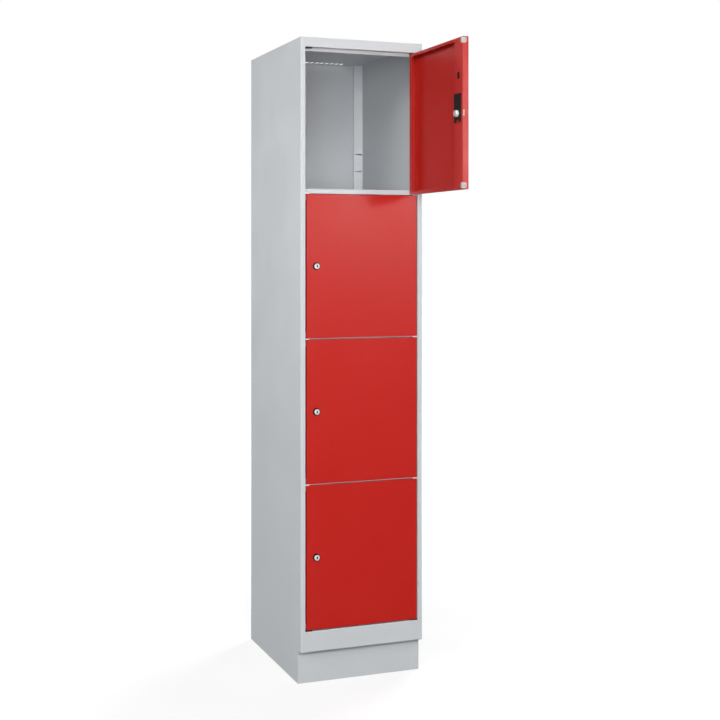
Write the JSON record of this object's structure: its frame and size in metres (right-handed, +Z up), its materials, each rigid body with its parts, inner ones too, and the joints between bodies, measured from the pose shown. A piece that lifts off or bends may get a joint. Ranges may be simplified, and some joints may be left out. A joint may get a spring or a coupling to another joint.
{
  "type": "compartment locker",
  "caption": "Tall narrow sheet-steel locker on a plinth, with stacked compartments, hinged pan doors and key-operated cylinder locks; the top door stands open.",
  "frame": {"origin": "on the floor, in the middle of the carcass's footprint, which is the centre of the floor fixings", "axes": "+X to the right seen from the front, +Y to the back, +Z up"},
  "size_m": [0.4, 0.8492, 1.95],
  "materials": {
    "carcass_grey": "light grey powder coat, satin",
    "door_red": "red powder coat, satin",
    "hinge_black": "black moulded nylon",
    "lock_black": "black moulded plastic, satin",
    "lock_chrome": "bright chrome plate",
    "zinc_steel": "zinc plated",
    "buffer_white": "white soft plastic"
  },
  "bodies": {
    "carcass": {"side_panel_left": "carcass_grey", "side_panel_right": "carcass_grey", "rear_corner_strip_left": "carcass_grey", "rear_corner_strip_right": "carcass_grey", "back_panel": "carcass_grey", "top_panel": "carcass_grey", "bottom_panel": "carcass_grey", "shelf_1": "carcass_grey", "shelf_2": "carcass_grey", "shelf_3": "carcass_grey", "shelf_hinge_lugs": "carcass_grey", "shelf_hinge_tips": "hinge_black", "top_hinge_plates": "hinge_black", "bottom_hinge_plates": "hinge_black", "hinge_pins": "zinc_steel", "plinth_left": "carcass_grey", "plinth_right": "carcass_grey", "plinth_front": "carcass_grey", "plinth_rear": "carcass_grey", "plinth_screws": "zinc_steel", "plinth_nuts": "zinc_steel"},
    "door_1": {"door_1_leaf": "door_red", "door_1_lock_band": "door_red", "door_1_band_plug": "lock_black", "door_1_lock_case": "lock_black", "door_1_lock_collar": "lock_black", "door_1_buffers": "buffer_white", "door_1_hinge_bushes": "hinge_black"},
    "lock_cylinder_1": {"door_1_lock_cylinder": "lock_chrome"},
    "lock_bolt_1": {"door_1_lock_bolt": "zinc_steel"},
    "door_2": {"door_2_leaf": "door_red", "door_2_lock_band": "door_red", "door_2_band_plug": "lock_black", "door_2_lock_case": "lock_black", "door_2_lock_collar": "lock_black", "door_2_buffers": "buffer_white", "door_2_hinge_bushes": "hinge_black"},
    "lock_cylinder_2": {"door_2_lock_cylinder": "lock_chrome"},
    "lock_bolt_2": {"door_2_lock_bolt": "zinc_steel"},
    "door_3": {"door_3_leaf": "door_red", "door_3_lock_band": "door_red", "door_3_band_plug": "lock_black", "door_3_lock_case": "lock_black", "door_3_lock_collar": "lock_black", "door_3_buffers": "buffer_white", "door_3_hinge_bushes": "hinge_black"},
    "lock_cylinder_3": {"door_3_lock_cylinder": "lock_chrome"},
    "lock_bolt_3": {"door_3_lock_bolt": "zinc_steel"},
    "door_4": {"door_4_leaf": "door_red", "door_4_lock_band": "door_red", "door_4_band_plug": "lock_black", "door_4_lock_case": "lock_black", "door_4_lock_collar": "lock_black", "door_4_buffers": "buffer_white", "door_4_hinge_bushes": "hinge_black"},
    "lock_cylinder_4": {"door_4_lock_cylinder": "lock_chrome"},
    "lock_bolt_4": {"door_4_lock_bolt": "zinc_steel"}
  },
  "joints": [
    {"name": "door_1_hinge", "type": "hinge", "parent": "carcass", "child": "door_1", "pos_m": [0.175, -0.242, 1.69962], "axis": [0, 0, 1], "range_deg": [-90, 10]},
    {"name": "door_1_key_turn", "type": "hinge", "parent": "door_1", "child": "lock_cylinder_1", "pos_m": [0.175, -0.5666, 1.69962], "axis": [1, 0, 0], "range_deg": [0, 90]},
    {"name": "door_1_bolt_throw", "type": "slide", "parent": "door_1", "child": "lock_bolt_1", "axis": [0, -1, 0], "range_m": [0, 0.0085]},
    {"name": "door_2_hinge", "type": "hinge", "parent": "carcass", "child": "door_2", "pos_m": [0.175, -0.242, 1.26087], "axis": [0, 0, 1], "range_deg": [0, 100]},
    {"name": "door_2_key_turn", "type": "hinge", "parent": "door_2", "child": "lock_cylinder_2", "pos_m": [-0.1496, -0.242, 1.26087], "axis": [0, -1, 0], "range_deg": [0, 90]},
    {"name": "door_2_bolt_throw", "type": "slide", "parent": "door_2", "child": "lock_bolt_2", "axis": [-1, 0, 0], "range_m": [0, 0.0085]},
    {"name": "door_3_hinge", "type": "hinge", "parent": "carcass", "child": "door_3", "pos_m": [0.175, -0.242, 0.82212], "axis": [0, 0, 1], "range_deg": [0, 100]},
    {"name": "door_3_key_turn", "type": "hinge", "parent": "door_3", "child": "lock_cylinder_3", "pos_m": [-0.1496, -0.242, 0.82212], "axis": [0, -1, 0], "range_deg": [0, 90]},
    {"name": "door_3_bolt_throw", "type": "slide", "parent": "door_3", "child": "lock_bolt_3", "axis": [-1, 0, 0], "range_m": [0, 0.0085]},
    {"name": "door_4_hinge", "type": "hinge", "parent": "carcass", "child": "door_4", "pos_m": [0.175, -0.242, 0.38338], "axis": [0, 0, 1], "range_deg": [0, 100]},
    {"name": "door_4_key_turn", "type": "hinge", "parent": "door_4", "child": "lock_cylinder_4", "pos_m": [-0.1496, -0.242, 0.38338], "axis": [0, -1, 0], "range_deg": [0, 90]},
    {"name": "door_4_bolt_throw", "type": "slide", "parent": "door_4", "child": "lock_bolt_4", "axis": [-1, 0, 0], "range_m": [0, 0.0085]}
  ],
  "couplings": [
    {"joint": "door_1_bolt_throw", "follows": "door_1_key_turn", "m_per_rad": 0.005402},
    {"joint": "door_2_bolt_throw", "follows": "door_2_key_turn", "m_per_rad": 0.005402},
    {"joint": "door_3_bolt_throw", "follows": "door_3_key_turn", "m_per_rad": 0.005402},
    {"joint": "door_4_bolt_throw", "follows": "door_4_key_turn", "m_per_rad": 0.005402}
  ]
}
